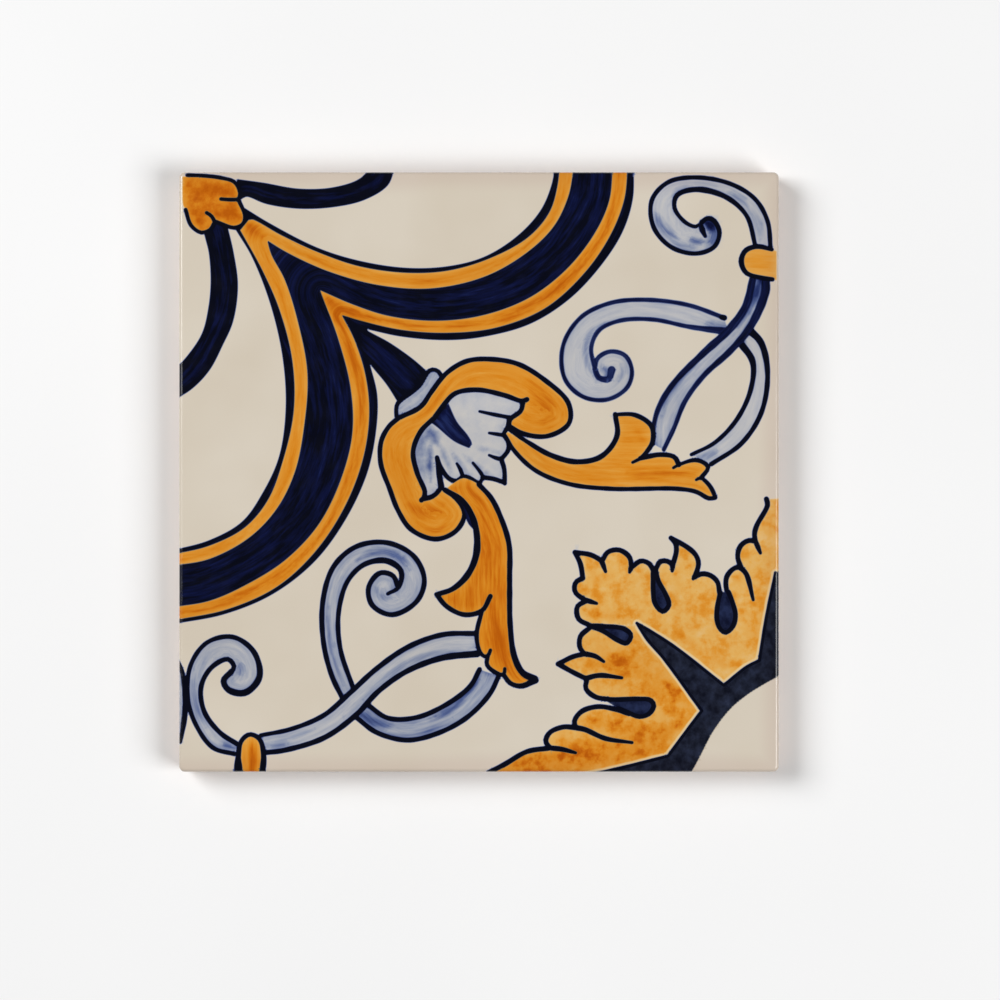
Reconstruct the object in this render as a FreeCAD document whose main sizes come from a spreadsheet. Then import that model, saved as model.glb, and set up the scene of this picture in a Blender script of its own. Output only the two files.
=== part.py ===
"""Azulejo: a square wall tile of fired earthenware, glazed and painted on its face.

The tile is one pressed and fired piece. It lies on its back with the painted face up:
the origin is the middle of the back, +Z comes out of the face, and +X and +Y run along
the sides. Lengths are in millimetres and angles in degrees.
"""

import FreeCAD, Part
import math
import os

import Sketcher

NODE = "azulejo_tile"

# Driving dimensions: alias, value, what it measures
SIZES = [
    ("side", 140.0, "side of the square face"),
    ("thickness", 8.0, "from the bedding plane to the glazed face"),
    ("edge_round", 0.9, "radius where the glaze rolls over the face's edges"),
    ("flat_corner", 0.4, "corner radius of the flat of the face, inside that roll"),
    ("bevel_height", 2.0, "height of the bevel that eases the back's edges"),
    ("bevel_width", 1.2, "how far that bevel draws the back in on each side"),
    ("rim_width", 6.0, "land round the back, from the bevel to the keys"),
    ("rib_width", 3.2, "land between two keys"),
    ("key_count", 6, "keys along each side of the back"),
    ("key_depth", 1.1, "depth of a key, the recess that the mortar grips"),
    ("key_corner", 2.4, "corner radius of a key's mouth"),
    ("key_draft_angle", 25.0, "slope of a key's walls, from upright"),
]

# Sizes that follow from the driving ones, as expressions on the sheet
SIDE_HEIGHT = "Sizes.thickness - Sizes.bevel_height"
FACE_CORNER = "Sizes.edge_round + Sizes.flat_corner"
BACK_SIDE = "Sizes.side - 2 * Sizes.bevel_width"
KEYED_SIDE = f"({BACK_SIDE} - 2 * Sizes.rim_width)"
KEY_SIDE = f"({KEYED_SIDE} - (Sizes.key_count - 1) * Sizes.rib_width) / Sizes.key_count"
FIRST_TO_LAST_KEY = f"{KEYED_SIDE} - {KEY_SIDE}"
FIRST_KEY = f"-({FIRST_TO_LAST_KEY}) / 2"

UP = FreeCAD.Vector(0, 0, 1)
START, END, CENTRE = 1, 2, 3  # points of a sketch's line or arc
SKETCH_ORIGIN = (-1, START)


def make_sheet(doc):
    """The spreadsheet of driving dimensions, one on each row, with its meaning beside it."""
    sheet = doc.addObject("Spreadsheet::Sheet", "Sizes")
    for row, (alias, value, meaning) in enumerate(SIZES, start=1):
        sheet.set(f"A{row}", str(value))
        sheet.setAlias(f"A{row}", alias)
        sheet.set(f"B{row}", meaning)
    doc.recompute()


def add_rounded_square(body, name, side, corner, place):
    """A sketch on a level plane: a square with rounded corners round the sketch's origin.

    side and corner are expressions, and place maps x, y or z to the expression that
    moves the sketch's origin that way from the body's.
    """
    sketch = body.newObject("Sketcher::SketchObject", name)
    plane = next(f for f in body.Origin.OriginFeatures if f.Role == "XY_Plane")
    sketch.AttachmentSupport = [(plane, "")]
    sketch.MapMode = "FlatFace"
    for axis, expression in place.items():
        sketch.setExpression(f".AttachmentOffset.Base.{axis}", expression)

    # A rough loop, which the constraints below bring to size
    half, straight = 10.0, 9.0
    lines, arcs = [], []
    for quarter in range(4):
        turn = FreeCAD.Rotation(UP, 90 * quarter)
        ends = [turn.multVec(FreeCAD.Vector(x, -half, 0)) for x in (-straight, straight)]
        lines.append(sketch.addGeometry(Part.LineSegment(*ends)))
        centre = turn.multVec(FreeCAD.Vector(straight, -straight, 0))
        circle = Part.Circle(centre, UP, half - straight)
        angles = [math.radians(90 * (quarter + k)) for k in (-1, 0)]
        arcs.append(sketch.addGeometry(Part.ArcOfCircle(circle, *angles)))

    def constrain(*terms):
        return sketch.addConstraint(Sketcher.Constraint(*terms))

    for i in range(4):
        constrain("Tangent", lines[i], END, arcs[i], START)
        constrain("Tangent", arcs[i], END, lines[(i + 1) % 4], START)
        constrain("Vertical" if i % 2 else "Horizontal", lines[i])
    for arc in arcs[1:]:
        constrain("Equal", arcs[0], arc)
    constrain("Symmetric", arcs[0], CENTRE, arcs[2], CENTRE, *SKETCH_ORIGIN)
    bottom, right, top, left = lines
    width = constrain("DistanceX", left, START, right, START, 2 * half)
    depth = constrain("DistanceY", bottom, START, top, START, 2 * half)
    radius = constrain("Radius", arcs[0], half - straight)
    sketch.setExpression(f"Constraints[{width}]", side)
    sketch.setExpression(f"Constraints[{depth}]", side)
    sketch.setExpression(f"Constraints[{radius}]", corner)
    return sketch


def add_slab(body):
    """The tile's block: upright sides, and below them a bevel that draws in to the back."""
    face = add_rounded_square(body, "FaceOutline", "Sizes.side", FACE_CORNER, {"z": "Sizes.bevel_height"})
    back = add_rounded_square(body, "BackOutline", BACK_SIDE, FACE_CORNER, {})
    sides = body.newObject("PartDesign::Pad", "Sides")
    sides.Profile = face
    sides.setExpression("Length", SIDE_HEIGHT)
    bevel = body.newObject("PartDesign::AdditiveLoft", "BackBevel")
    bevel.Profile = face
    bevel.Sections = [back]
    bevel.Ruled = True
    return bevel


def add_edge_roll(body, slab):
    """The round that the melted glaze leaves along the four edges of the face."""
    body.Document.recompute()
    highest = slab.Shape.BoundBox.ZMax
    faces = enumerate(slab.Shape.Faces, start=1)
    top = next(f"Face{i}" for i, face in faces if face.BoundBox.ZMin > highest - 1e-6)
    roll = body.newObject("PartDesign::Fillet", "EdgeRoll")
    roll.Base = (slab, [top])
    roll.setExpression("Radius", "Sizes.edge_round")


def add_keys(body):
    """The square recesses that are pressed into the back, in rows each way, with sloped walls."""
    mouth = add_rounded_square(
        body, "KeyMouth", KEY_SIDE, "Sizes.key_corner", {"x": FIRST_KEY, "y": FIRST_KEY}
    )
    body.Document.recompute()
    key = body.newObject("PartDesign::Pocket", "Key")
    key.Profile = mouth
    key.Reversed = True  # from the back up into the tile
    key.setExpression("Length", "Sizes.key_depth")
    key.setExpression("TaperAngle", "-Sizes.key_draft_angle")
    body.Document.recompute()
    rows = body.newObject("PartDesign::LinearPattern", "KeyRows")
    rows.Originals = [key]
    rows.Direction = (mouth, ["H_Axis"])
    rows.Direction2 = (mouth, ["V_Axis"])
    for suffix in ("", "2"):
        rows.setExpression("Occurrences" + suffix, "Sizes.key_count")
        rows.setExpression("Length" + suffix, FIRST_TO_LAST_KEY)
    body.Tip = rows


def check(doc, body):
    """Stops here if a feature failed or the tile isn't one sound solid."""
    failed = [o.Label for o in doc.Objects if {"Invalid", "Error"} & set(o.State)]
    if failed:
        raise RuntimeError(f"these features failed: {failed}")
    shape = body.Shape
    if shape.isNull() or not shape.isValid() or len(shape.Solids) != 1:
        raise RuntimeError("the tile isn't one valid solid")


doc = FreeCAD.newDocument("Azulejo")
make_sheet(doc)
tile = doc.addObject("PartDesign::Body", "Tile")
tile.Label = NODE
add_edge_roll(tile, add_slab(tile))
add_keys(tile)
doc.recompute()
check(doc, tile)
os.makedirs("parts", exist_ok=True)
tile.Shape.exportStep(f"parts/{NODE}.step")
box = tile.Shape.BoundBox
print(f"{NODE}: {box.XLength:.3f} x {box.YLength:.3f} x {box.ZLength:.3f} mm, {tile.Shape.Volume:.1f} mm3")
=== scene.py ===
"""Looks of the azulejo tile: one painted and glazed piece in place of the plain CAD tile.

The ornament is drawn with brush shapes in pattern units: thousandths of the tile's side,
x to the right and y down from the upper left corner of the face. Every vertex of the face
carries how much cobalt and ochre pigment lies there, and the glaze material turns those
densities into colour.
"""

import math

import bpy
import numpy as np
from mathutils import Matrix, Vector
from mathutils.geometry import delaunay_2d_cdt
from mathutils.kdtree import KDTree


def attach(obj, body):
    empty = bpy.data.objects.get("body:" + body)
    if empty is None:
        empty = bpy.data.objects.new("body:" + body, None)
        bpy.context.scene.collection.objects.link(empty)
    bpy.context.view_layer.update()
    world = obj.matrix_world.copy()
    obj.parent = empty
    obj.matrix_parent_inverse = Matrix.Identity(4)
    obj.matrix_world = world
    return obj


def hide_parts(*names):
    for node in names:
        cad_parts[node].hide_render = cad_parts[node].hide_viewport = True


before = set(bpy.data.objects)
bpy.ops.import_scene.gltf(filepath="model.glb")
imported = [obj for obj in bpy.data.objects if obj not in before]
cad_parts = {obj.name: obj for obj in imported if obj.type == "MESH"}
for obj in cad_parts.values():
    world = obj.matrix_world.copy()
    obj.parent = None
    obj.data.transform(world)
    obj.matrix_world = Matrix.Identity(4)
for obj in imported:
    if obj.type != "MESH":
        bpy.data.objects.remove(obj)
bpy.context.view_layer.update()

# Sizes of the tile in millimetres, as in the CAD part
SIDE = 140.0
THICKNESS = 8.0
EDGE_ROLL = 0.9
CORNER = 1.3
BEVEL_HEIGHT = 2.0
BEVEL_WIDTH = 1.2
RIM = 6.0
RIB = 3.2
KEYS = 6
KEY_DEPTH = 1.1
KEY_CORNER = 2.4
KEY_DRAFT = math.radians(25)
MM = 0.001
GLAZED, BARE = 0, 1  # finish of a face, which is also the number of its material
FLOOR_GAP = 0.00002  # in metres, so that the back doesn't share its plane with the floor

# Brushwork, in pattern units
UNIT = SIDE / 1000  # one of them, in millimetres
OUTLINE_STEP = 5.5  # between two points along an outline
LINE = 7.7  # usual width of a line
WAVER = 0.06  # share by which its width goes up and down
WAVES = (0.19, 0.07)  # pace of the two waves that it does so in
WAVE_START = 0.1  # share of a line's place that they start at
SOFT = 1.1  # half the width of a painted edge
BURIED = 1.5 * SOFT  # an edge this deep under a later shape is out of sight
DAB_SOFT = 2.6  # half the width of a dab's edge
DAB_SPREAD = 0.26  # and more by this share of the dab's width
DAB_TIP = 1.0  # width of a dab at its ends
DAB_SHOULDER = 0.8  # share of its width halfway to the ends
FREE_BRUSH = (3.2, 0.34)  # how places down and across count in paint without a guide
NEAR_ROOM = 1.1  # share of a line's width, and
NEAR_SOFT = 3  # number of soft edges, that are looked at round a shape
CAP_TURNS = [math.radians(a) for a in (36, 72, 108, 144)]  # where a line's round end has its points
LEAST_GAP = 0.9  # points nearer than this to another are left out

# The mesh, in millimetres
FACE_STEP = 1.3  # between the face's own points
SIDE_STEP = 1.0  # between points along the outline of the face
KEY_STEP = 6.0  # the same round a key
DAB_GAP = 0.5  # least distance of a dab's points from those of painted edges
FACE_GAP = 0.45  # least distance of the face's own points from all of these
OUTLINE_GAP = 0.05  # least distance of any of them from the outline
MERGED = 1e-4  # points nearer than this are one
ROLL_TURNS = (90, 75, 60, 45, 30, 15, 0)  # in degrees, round the rolled edge of the face
REFINEMENTS = 4  # how often points are added where the triangles miss the paint
STEEP = 0.15  # a change of density along an edge that is looked into
MISSED = 0.12  # an error of density at its middle that gets a new point there

# The map for textures, in shares of its width: the face, the back above it and the sides at the right
MAP_MARGIN, MAP_FACE = 0.005, 0.8
MAP_BACK_FROM, MAP_BACK = 0.815, 0.18
MAP_SIDES_FROM, MAP_SIDE, MAP_SIDE_USED = 0.82, 0.045, 0.8

# The studio, in metres and watts
FLOOR_HALF = 4.0
LAMPS = {"key_lamp": ((-1.1, 0.5, 1.1), 23.0), "fill_lamp": ((1.1, -0.4, 1.1), 18.8)}  # place and power
LAMP_SIZE = 0.9
SKY_LIGHT = 0.05
LENS, SENSOR = 135, 36  # in millimetres
TILE_SHARE = 0.6  # of the picture's width
PICTURE_MIDDLE = (0.021, -0.028)  # away from the tile's, in shares of the picture's width

# Each paint: cobalt and ochre density, and how much they change towards the shape's edge
PAINTS = {
    "ground": (0.0, 0.0, 0.0),
    "wash": (0.15, 0.0, 0.9),
    "bloom": (0.76, 0.0, 0.3),
    "cobalt": (0.95, 0.0, 0.25),
    "drop": (0.78, 0.2, 0.1),
    "star": (0.79, 0.38, 0.0),
    "pale": (0.0, 0.23, 0.0),
    "line": (1.25, 0.0, 0.0),
    "ochre": (0.0, 0.77, -0.26),
    "mottled": (0.0, 0.5, -0.26),
}
EDGE_REACH = 5.5  # how far in from the edge that change reaches, in pattern units


def smooth(points, step=OUTLINE_STEP):
    """Points about a step apart on a smooth curve through the given ones.

    A curve that ends where it starts runs smoothly through that point too.
    """
    p = np.array(points, float)
    if len(p) < 3:
        return p
    closed = np.allclose(p[0], p[-1])
    before = p[-2] if closed else 2 * p[0] - p[1]
    after = p[1] if closed else 2 * p[-1] - p[-2]
    p = np.vstack([before, p, after])
    gap = np.sqrt(np.linalg.norm(np.diff(p, axis=0), axis=1))[:, None]
    slope = np.diff(p, axis=0) / gap
    tangent = slope[:-1] + slope[1:] - (p[2:] - p[:-2]) / (gap[:-1] + gap[1:])
    curve = []
    for i in range(len(tangent) - 1):
        start, end, reach = p[i + 1], p[i + 2], gap[i + 1]
        count = max(1, round(float(reach[0]) ** 2 / step))
        t = np.arange(count)[:, None] / count
        curve.append(
            (1 + 2 * t) * (1 - t) ** 2 * start
            + t * (1 - t) ** 2 * reach * tangent[i]
            + t**2 * (3 - 2 * t) * end
            + t**2 * (t - 1) * reach * tangent[i + 1]
        )
    return np.vstack(curve + [p[-2:-1]])


def even(path, step=OUTLINE_STEP):
    """The path again, with its points a step apart along it."""
    along = lengths(path)
    count = max(2, round(along[-1] / step) + 1)
    places = np.linspace(0, along[-1], count)
    return np.column_stack([np.interp(places, along, path[:, k]) for k in (0, 1)])


def lengths(path):
    """How far along the path each of its points lies."""
    return np.concatenate([[0], np.cumsum(np.linalg.norm(np.diff(path, axis=0), axis=1))])


def normals(path):
    """A unit normal at each point of the path, turned left from its run."""
    run = np.gradient(path, axis=0)
    run /= np.maximum(np.linalg.norm(run, axis=1), 1e-9)[:, None]
    return np.column_stack([-run[:, 1], run[:, 0]])


def nearest(points, path):
    """For each point: its distance to the path, how far along that place is, and its side."""
    start, span = path[:-1], np.diff(path, axis=0)
    along = lengths(path)
    squared = np.maximum((span**2).sum(1), 1e-12)
    found = np.empty((3, len(points)))
    for lot in np.array_split(np.arange(len(points)), len(points) // 2000 + 1):
        offset = points[lot, None] - start
        t = np.clip((offset * span).sum(-1) / squared, 0, 1)
        away = offset - t[..., None] * span
        distance = np.hypot(away[..., 0], away[..., 1])
        row, best = np.arange(len(lot)), distance.argmin(1)
        cross = span[best, 0] * away[row, best, 1] - span[best, 1] * away[row, best, 0]
        found[0, lot] = distance[row, best]
        found[1, lot] = along[best] + t[row, best] * np.sqrt(squared[best])
        found[2, lot] = np.sign(cross)
    return found


def inside(points, loop):
    """Which points lie inside the closed loop."""
    x, y = points.T
    result = np.zeros(len(points), bool)
    for (x0, y0), (x1, y1) in zip(loop, np.roll(loop, -1, axis=0)):
        if y0 != y1:
            result ^= ((y0 > y) != (y1 > y)) & (x < x0 + (y - y0) * (x1 - x0) / (y1 - y0))
    return result


def ease(values, low, high):
    """0 below low, 1 above high, and a smooth change between them."""
    t = np.clip((values - low) / (high - low), 0, 1)
    return t * t * (3 - 2 * t)


class Fill:
    """A closed shape, painted all over."""

    def __init__(self, loop):
        self.path = loop
        self.reach = 0.0
        self.rim = even(np.vstack([loop, loop[:1]]))[:-1]

    def depth(self, points):
        """How deep each point lies in the shape, negative outside it."""
        distance = nearest(points, np.vstack([self.path, self.path[:1]]))[0]
        return np.where(inside(points, self.path), distance, -distance)


class Line:
    """A brush line, whose width changes evenly between the given ones along its run."""

    def __init__(self, path, widths):
        self.path = path
        self.widths = np.atleast_1d(widths) / 2
        self.reach = self.widths.max()
        along = lengths(path)
        half = self.half_width(along, along[-1])[:, None]
        side = half * normals(path)
        end, start = self.cap(path[-1], -side[-1]), self.cap(path[0], side[0])
        self.rim = np.vstack([path - side, end, (path + side)[::-1], start])

    @staticmethod
    def cap(end, radius):
        """Points of the half circle that rounds off one end, from one side of the line to the other."""
        turns = [(math.cos(a), math.sin(a)) for a in CAP_TURNS]
        return np.array([end + radius @ np.array([[c, s], [-s, c]]) for c, s in turns])

    def half_width(self, place, total):
        """Half the width at each place along the line, a little uneven as by hand."""
        spots = np.linspace(0, total, len(self.widths))
        starts = WAVE_START * self.path[0]
        first, second = (np.sin(pace * place + start) for pace, start in zip(WAVES, starts))
        return np.interp(place, spots, self.widths) * (1 + WAVER * first * second)

    def depth(self, points):
        """How deep each point lies in the line, negative outside it."""
        distance, place, side = nearest(points, self.path)
        return self.half_width(place, lengths(self.path)[-1]) - distance


class Painting:
    """The brush shapes in the order they were painted, each over the ones before it."""

    def __init__(self):
        self.coats = []

    def fill(self, paint, *runs, density=1.0, guide=None):
        """A shape bounded by smooth runs, with straight lines across the gaps between them.

        The brush follows the guide.
        """
        loop = []
        for run, following in zip(runs, runs[1:] + runs[:1]):
            meets = np.allclose(run[-1], following[0])
            loop.append(smooth(run)[:-1] if meets else smooth(run))
        self.add(Fill(np.vstack(loop)), paint, density, SOFT, guide)

    def line(self, points, widths=LINE, paint="line", density=1.0):
        """A line through the points, of one width or of widths spread evenly along it."""
        self.add(Line(even(smooth(points)), widths), paint, density, SOFT, points)

    def dabs(self, pigment, strokes):
        """Soft strokes that taper to both ends and deepen the paint that they lie on.

        Each is given by its points, its width and its density.
        """
        for points, width, density in strokes:
            shoulder = DAB_SHOULDER * width
            shape = Line(even(smooth(points)), (DAB_TIP, shoulder, width, shoulder, DAB_TIP))
            self.add(shape, "dab " + pigment, density, DAB_SOFT + DAB_SPREAD * width, None)

    def add(self, shape, paint, density, soft, guide):
        """Lays a shape over those before it."""
        self.coats.append((shape, paint, density, soft, None if guide is None else smooth(guide)))

    def outline_points(self):
        """Pairs of points on both sides of the edges that stay in sight: hard ones, then those of dabs."""
        points, order, dab = [], [], []
        for index, (shape, paint, density, soft, guide) in enumerate(self.coats):
            side = normals(shape.rim) * soft
            points += [shape.rim + side, shape.rim - side]
            order += [np.full(2 * len(side), index)]
            dab += [np.full(2 * len(side), paint.startswith("dab"))]
        points, order, dab = np.vstack(points), np.concatenate(order), np.concatenate(dab)
        seen = np.ones(len(points), bool)
        for index, (shape, paint, density, soft, guide) in enumerate(self.coats):
            if paint.startswith("dab"):
                continue
            under = np.flatnonzero(seen & (order < index))
            under = under[near(points[under], shape)]
            seen[under[shape.depth(points[under]) > BURIED]] = False
        return points[seen & ~dab], points[seen & dab]

    def pigments(self, points):
        """Cobalt and ochre density at each point, and where it lies along and across the brush."""
        layer = {"cobalt": np.zeros(len(points)), "ochre": np.zeros(len(points))}
        blotch = np.zeros(len(points))
        free = np.column_stack([points[:, ::-1] * FREE_BRUSH, np.zeros(len(points))])
        brush = free.copy()
        for index, (shape, paint, density, soft, guide) in enumerate(self.coats):
            close = np.flatnonzero(near(points, shape, soft))
            depth = shape.depth(points[close])
            cover = ease(depth, -soft, soft)
            if paint.startswith("dab"):
                deepened = layer[paint.split()[1]]
                deepened[close] += cover * density * np.maximum(1 - deepened[close], 0)
                continue
            change = PAINTS[paint][2] * np.exp(-np.maximum(depth, 0) / EDGE_REACH)
            for full, values in zip(PAINTS[paint], layer.values()):
                values[close] += cover * (full * density * (1 + change) - values[close])
            over = close[cover > 0.5]
            blotch[over] = paint == "mottled"
            brush[over] = free[over]
            if guide is not None and len(over):
                distance, place, side = nearest(points[over], guide)
                brush[over] = np.column_stack([place, distance * side, np.full(len(over), index)])
        return layer["cobalt"], layer["ochre"], blotch, brush


def near(points, shape, soft=SOFT):
    """Which points lie in the shape's box, with room round it for its soft edge and uneven width."""
    reach = shape.reach * NEAR_ROOM + NEAR_SOFT * soft
    low, high = shape.path.min(0) - reach, shape.path.max(0) + reach
    return ((points > low) & (points < high)).all(1)


def joined(start, *runs):
    """Runs of points with a corner between them, each from where the one before it ends."""
    starts = [start] + [run[-1] for run in runs]
    return [[first] + run for first, run in zip(starts, runs)]


def ribbon(d, edges, shades, widths=(LINE, LINE), wash=1.0, ink=1.0):
    """A washed band between two edges, shaded with soft dabs, with a line along each edge."""
    one, other = edges
    d.fill("wash", one, other, density=wash, guide=one)
    d.dabs("cobalt", shades)
    for edge, width in zip(edges, widths):
        d.line(edge, width, density=ink)


def corner_leaf(d):
    """The ochre leaf in the upper left corner, cut by two short veins."""
    upper = [(6, 8), (40, 6), (72, 10), (93, 17), (102, 36), (99, 46)]
    right = [(99, 46), (110, 73), (106, 87), (92, 93), (60, 82)]
    lower = [(60, 82), (52, 96), (37, 101), (20, 89), (11, 63)]
    stalk = [(11, 63), (7, 55), (6, 8)]
    d.fill("ochre", upper, right, lower, stalk, density=1.18)
    d.dabs("ochre", [
        ([(10, 26), (50, 32), (94, 34)], 14, 0.6),
        ([(65, 70), (104, 74)], 12, 0.6),
        ([(24, 60), (42, 94)], 12, 0.5),
    ])
    for edge in ([(14, 5)] + upper[1:], right, lower):
        d.line(edge, 6.2)
    for vein in ([(70, 45), (82, 46), (99, 46)], [(46, 68), (54, 73), (60, 84)]):
        d.line(vein, 6)


def thin_arcs(d):
    """The two dark strokes that swing out of the corner leaf, along the top and down the left."""
    over = [(96, 12), (140, 18), (200, 28), (255, 26), (300, 12), (320, -8)]
    under = [(360, -8), (348, 22), (310, 46), (260, 58), (200, 61), (145, 53), (112, 41), (103, 46)]
    left = [(46, 80), (42, 98), (50, 135), (53, 182), (49, 227), (38, 270), (11, 310), (-8, 329)]
    right = [(-8, 380), (22, 361), (51, 330), (73, 288), (90, 249), (98, 190), (91, 135), (78, 80)]
    for one, other in ((over, under), (left, right)):
        d.fill("cobalt", one, other, guide=other)


def ogee_band(d):
    """The dark band that bends round the flower's stem, and the two ochre trims laid over it."""
    inner_top = [(109, 60), (150, 85), (230, 126), (300, 148), (380, 160), (450, 157), (510, 141), (566, 105),
                 (604, 62), (622, 18), (626, -8)]
    outer_top = [(758, -8), (756, 46), (739, 100), (703, 156), (650, 212), (585, 253), (510, 274), (445, 280),
                 (370, 274), (314, 262)]
    outer_left = [(318, 320), (330, 370), (329, 425), (314, 500), (277, 580), (225, 650), (155, 704),
                  (75, 737), (-8, 753)]
    inner_left = [(-8, 630), (50, 614), (105, 583), (140, 534), (167, 474), (178, 395), (173, 310),
                  (153, 222), (122, 142), (94, 95)]
    inner_trim = [
        [(116, 80), (122, 79), (170, 105), (230, 133), (300, 157), (380, 168), (450, 164), (520, 143),
         (583, 108), (618, 66), (631, 22), (634, -8)],
        [(658, -8), (649, 40), (625, 90), (580, 134), (510, 174), (420, 194), (330, 188), (245, 164),
         (180, 134), (147, 114)],
        [(147, 114), (154, 138), (176, 179), (199, 253), (214, 335), (209, 420), (193, 500), (163, 561),
         (116, 610), (50, 645), (-8, 656)],
        [(-8, 637), (50, 623), (109, 593), (148, 547), (172, 485), (191, 400), (189, 315), (168, 231),
         (140, 166), (102, 97)],
    ]
    outer_trim = [
        [(235, 197), (290, 221), (350, 240), (430, 248), (510, 238), (585, 209), (647, 161), (693, 102),
         (717, 48), (723, -8)],
        [(748, -8), (742, 46), (719, 105), (675, 169), (610, 227), (530, 259), (450, 268), (370, 263),
         (300, 247), (271, 238)],
        [(271, 238), (292, 279), (311, 340), (317, 405), (306, 480), (275, 560), (225, 635), (162, 692),
         (80, 729), (-8, 747)],
        [(-8, 725), (50, 715), (110, 689), (178, 646), (233, 587), (270, 512), (289, 435), (286, 360),
         (266, 280), (235, 197)],
    ]
    d.fill("cobalt", inner_top, outer_top, outer_left, inner_left, guide=outer_trim[3] + outer_trim[0][1:])
    for (above, below, right_of, left_of), density in ((inner_trim, 1.06), (outer_trim, 1.14)):
        d.fill("ochre", above, below, right_of, left_of, density=density, guide=below + right_of[1:])
    d.dabs("ochre", [
        ([(110, 84), (126, 98), (142, 110)], 18, 0.7),
        ([(240, 204), (266, 226), (340, 252)], 16, 0.6),
        ([(242, 212), (272, 260), (298, 330)], 14, 0.55),
        ([(560, 236), (620, 204), (664, 160)], 12, 0.55),
        ([(295, 300), (306, 360), (302, 440)], 8, 0.35),
    ])


def stem(d):
    """The dark stem that leaves the point of the band, and the pale cuff at its end."""
    upper = [(280, 243), (315, 265), (350, 284), (390, 312), (413, 332)]
    end = [(413, 332), (406, 347), (392, 363), (365, 384)]
    lower = [(365, 384), (346, 354), (320, 322), (304, 298), (280, 248)]
    d.fill("cobalt", upper, end, lower, density=0.96,
           guide=[(280, 245), (390, 355)])
    cuff = [(363, 396), (367, 388), (403, 359), (422, 332), (433, 336), (422, 362), (402, 386), (372, 404),
            (365, 404), (363, 396)]
    d.fill("wash", cuff, density=1.15, guide=end)
    d.line([(363, 412), (362, 395), (365, 385), (400, 357), (416, 332), (424, 329), (433, 333),
            (438, 342)], 6.8)


def calyx(d):
    """The ochre cup that folds round the flower, with one lobe to the right and one below."""
    outer_right = [(366, 410), (403, 391), (421, 366), (446, 335), (480, 315), (520, 312), (565, 320),
                   (610, 347), (649, 385), (650, 419), (615, 440), (576, 437), (549, 423)]
    petal_right = [(549, 423), (552, 412), (570, 398), (573, 384)]
    inner_right = [(573, 382), (542, 372), (497, 363), (460, 369), (439, 391), (425, 410)]
    inner_left = [(425, 410), (403, 432), (390, 466), (397, 502), (410, 534), (407, 545)]
    petal_left = [(407, 545), (424, 540), (438, 525)]
    outer_left = [(443, 530), (463, 545), (476, 570), (462, 598), (428, 612), (387, 596), (365, 564),
                  (351, 528), (336, 485), (337, 449), (350, 424), (366, 410)]
    d.fill("ochre", outer_right, petal_right, inner_right, inner_left,
           petal_left, outer_left, density=0.98, guide=outer_left + outer_right[1:])
    d.dabs("ochre", [
        ([(375, 575), (415, 602), (460, 586)], 14, 0.4),
        ([(376, 550), (405, 564), (448, 558)], 20, 0.5),
        ([(585, 370), (615, 395), (605, 418)], 24, 0.35),
        ([(570, 348), (615, 372), (642, 410)], 14, 0.35),
        ([(620, 426), (570, 418)], 12, 0.4),
        ([(400, 406), (425, 384), (445, 354)], 10, 0.5),
    ])
    for edge in (outer_right, petal_right, [(580, 379)] + inner_right, inner_left + [(404, 547)],
                 petal_left, outer_left):
        d.line(edge)


def flower(d):
    """The pale flower in the calyx: scalloped petals, a dark wedge at its heart and short veins."""
    edge = [(424, 412), (444, 381), (462, 368), (498, 364), (540, 372), (572, 385), (568, 400), (549, 409),
            (541, 437), (549, 452), (549, 464), (538, 479), (543, 520), (507, 509), (498, 519), (473, 508),
            (462, 514), (446, 508), (417, 544), (408, 542), (389, 485), (388, 466), (402, 432), (424, 412)]
    d.fill("wash", edge, density=0.85)
    d.dabs("cobalt", [
        ([(418, 426), (404, 450), (402, 480), (410, 516)], 24, 0.24),
        ([(414, 426), (424, 440), (432, 456)], 16, 0.34),
        ([(420, 452), (418, 484), (420, 516)], 8, 0.4),
        ([(436, 454), (446, 482), (454, 504)], 8, 0.22),
        ([(454, 466), (470, 490), (484, 506)], 7, 0.22),
        ([(474, 472), (500, 494), (526, 510)], 8, 0.2),
        ([(492, 458), (516, 464), (536, 468)], 7, 0.16),
    ])
    d.fill("bloom", [(449, 386), (463, 416), (482, 440), (488, 453), (483, 460)],
           [(483, 460), (459, 449), (429, 424), (418, 416)],
           guide=[(430, 400), (487, 462)])
    for scallop in [
        [(550, 409), (549, 420), (542, 436)],
        [(541, 438), (549, 450), (549, 463), (537, 479)],
        [(537, 479), (542, 494), (543, 519)],
        [(543, 518), (526, 512), (506, 509)],
        [(502, 522), (482, 509), (473, 508), (463, 515), (451, 512), (437, 494), (430, 476)],
    ]:
        d.line(scallop, 7.2)
    for vein in [
        [(501, 399), (524, 404), (550, 409)],
        [(517, 435), (543, 439)],
        [(517, 472), (526, 476), (538, 479)],
        [(490, 485), (502, 500), (507, 510), (499, 520)],
        [(463, 486), (469, 496), (473, 507)],
    ]:
        d.line(vein, (4, 6, 6.5))
    d.line([(429, 476), (433, 500), (437, 524)], (4.5, 8.5, 10))


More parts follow.
